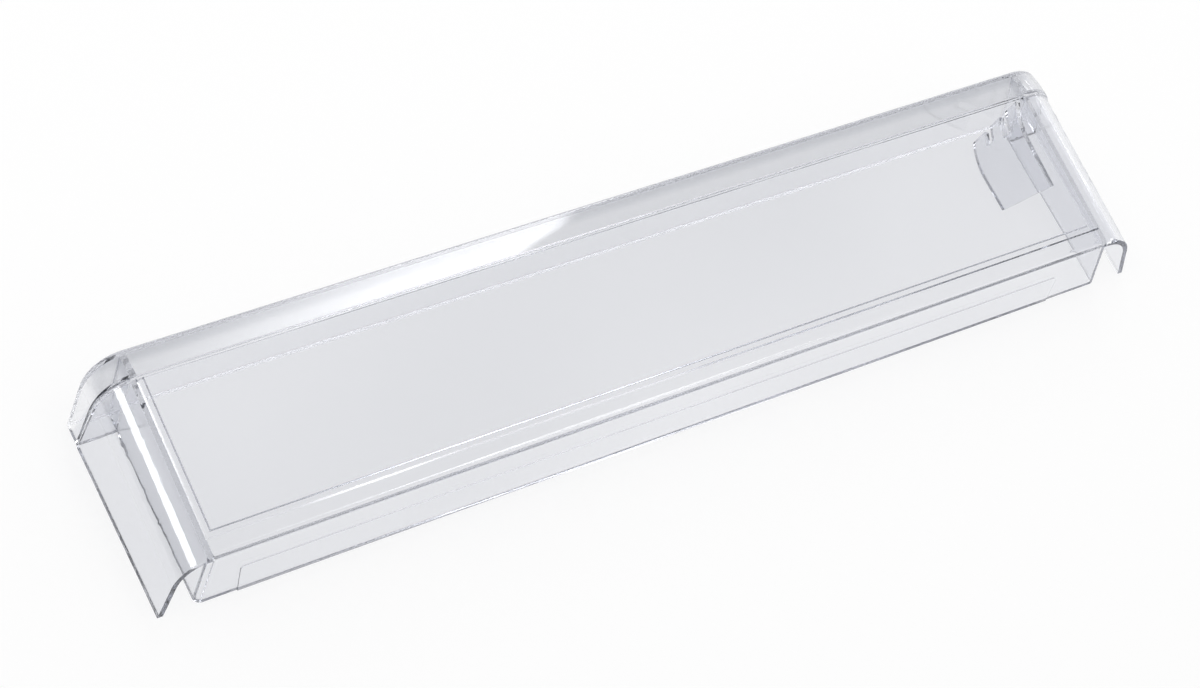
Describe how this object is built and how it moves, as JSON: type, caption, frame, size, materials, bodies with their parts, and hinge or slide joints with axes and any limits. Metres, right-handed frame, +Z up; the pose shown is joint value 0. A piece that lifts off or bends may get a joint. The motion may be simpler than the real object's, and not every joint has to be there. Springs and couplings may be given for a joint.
{
  "type": "fridge door shelf bar",
  "caption": "Long clear moulded bar for a fridge door shelf: a shallow hollow front panel with a rolled rim, a skirt and end channels that slide on the door's ribs.",
  "frame": {"origin": "on the table under the middle of the bar's box, with the bar resting on its open door side", "axes": "+X along the bar, +Y from the skirt (lower edge in use) to the rim (upper edge in use), +Z up through the front panel"},
  "size_m": [0.4422, 0.0898, 0.0327],
  "materials": {
    "clear_plastic": "clear, polished"
  },
  "bodies": {
    "root": {"shelf_bar": "clear_plastic"}
  },
  "joints": []
}
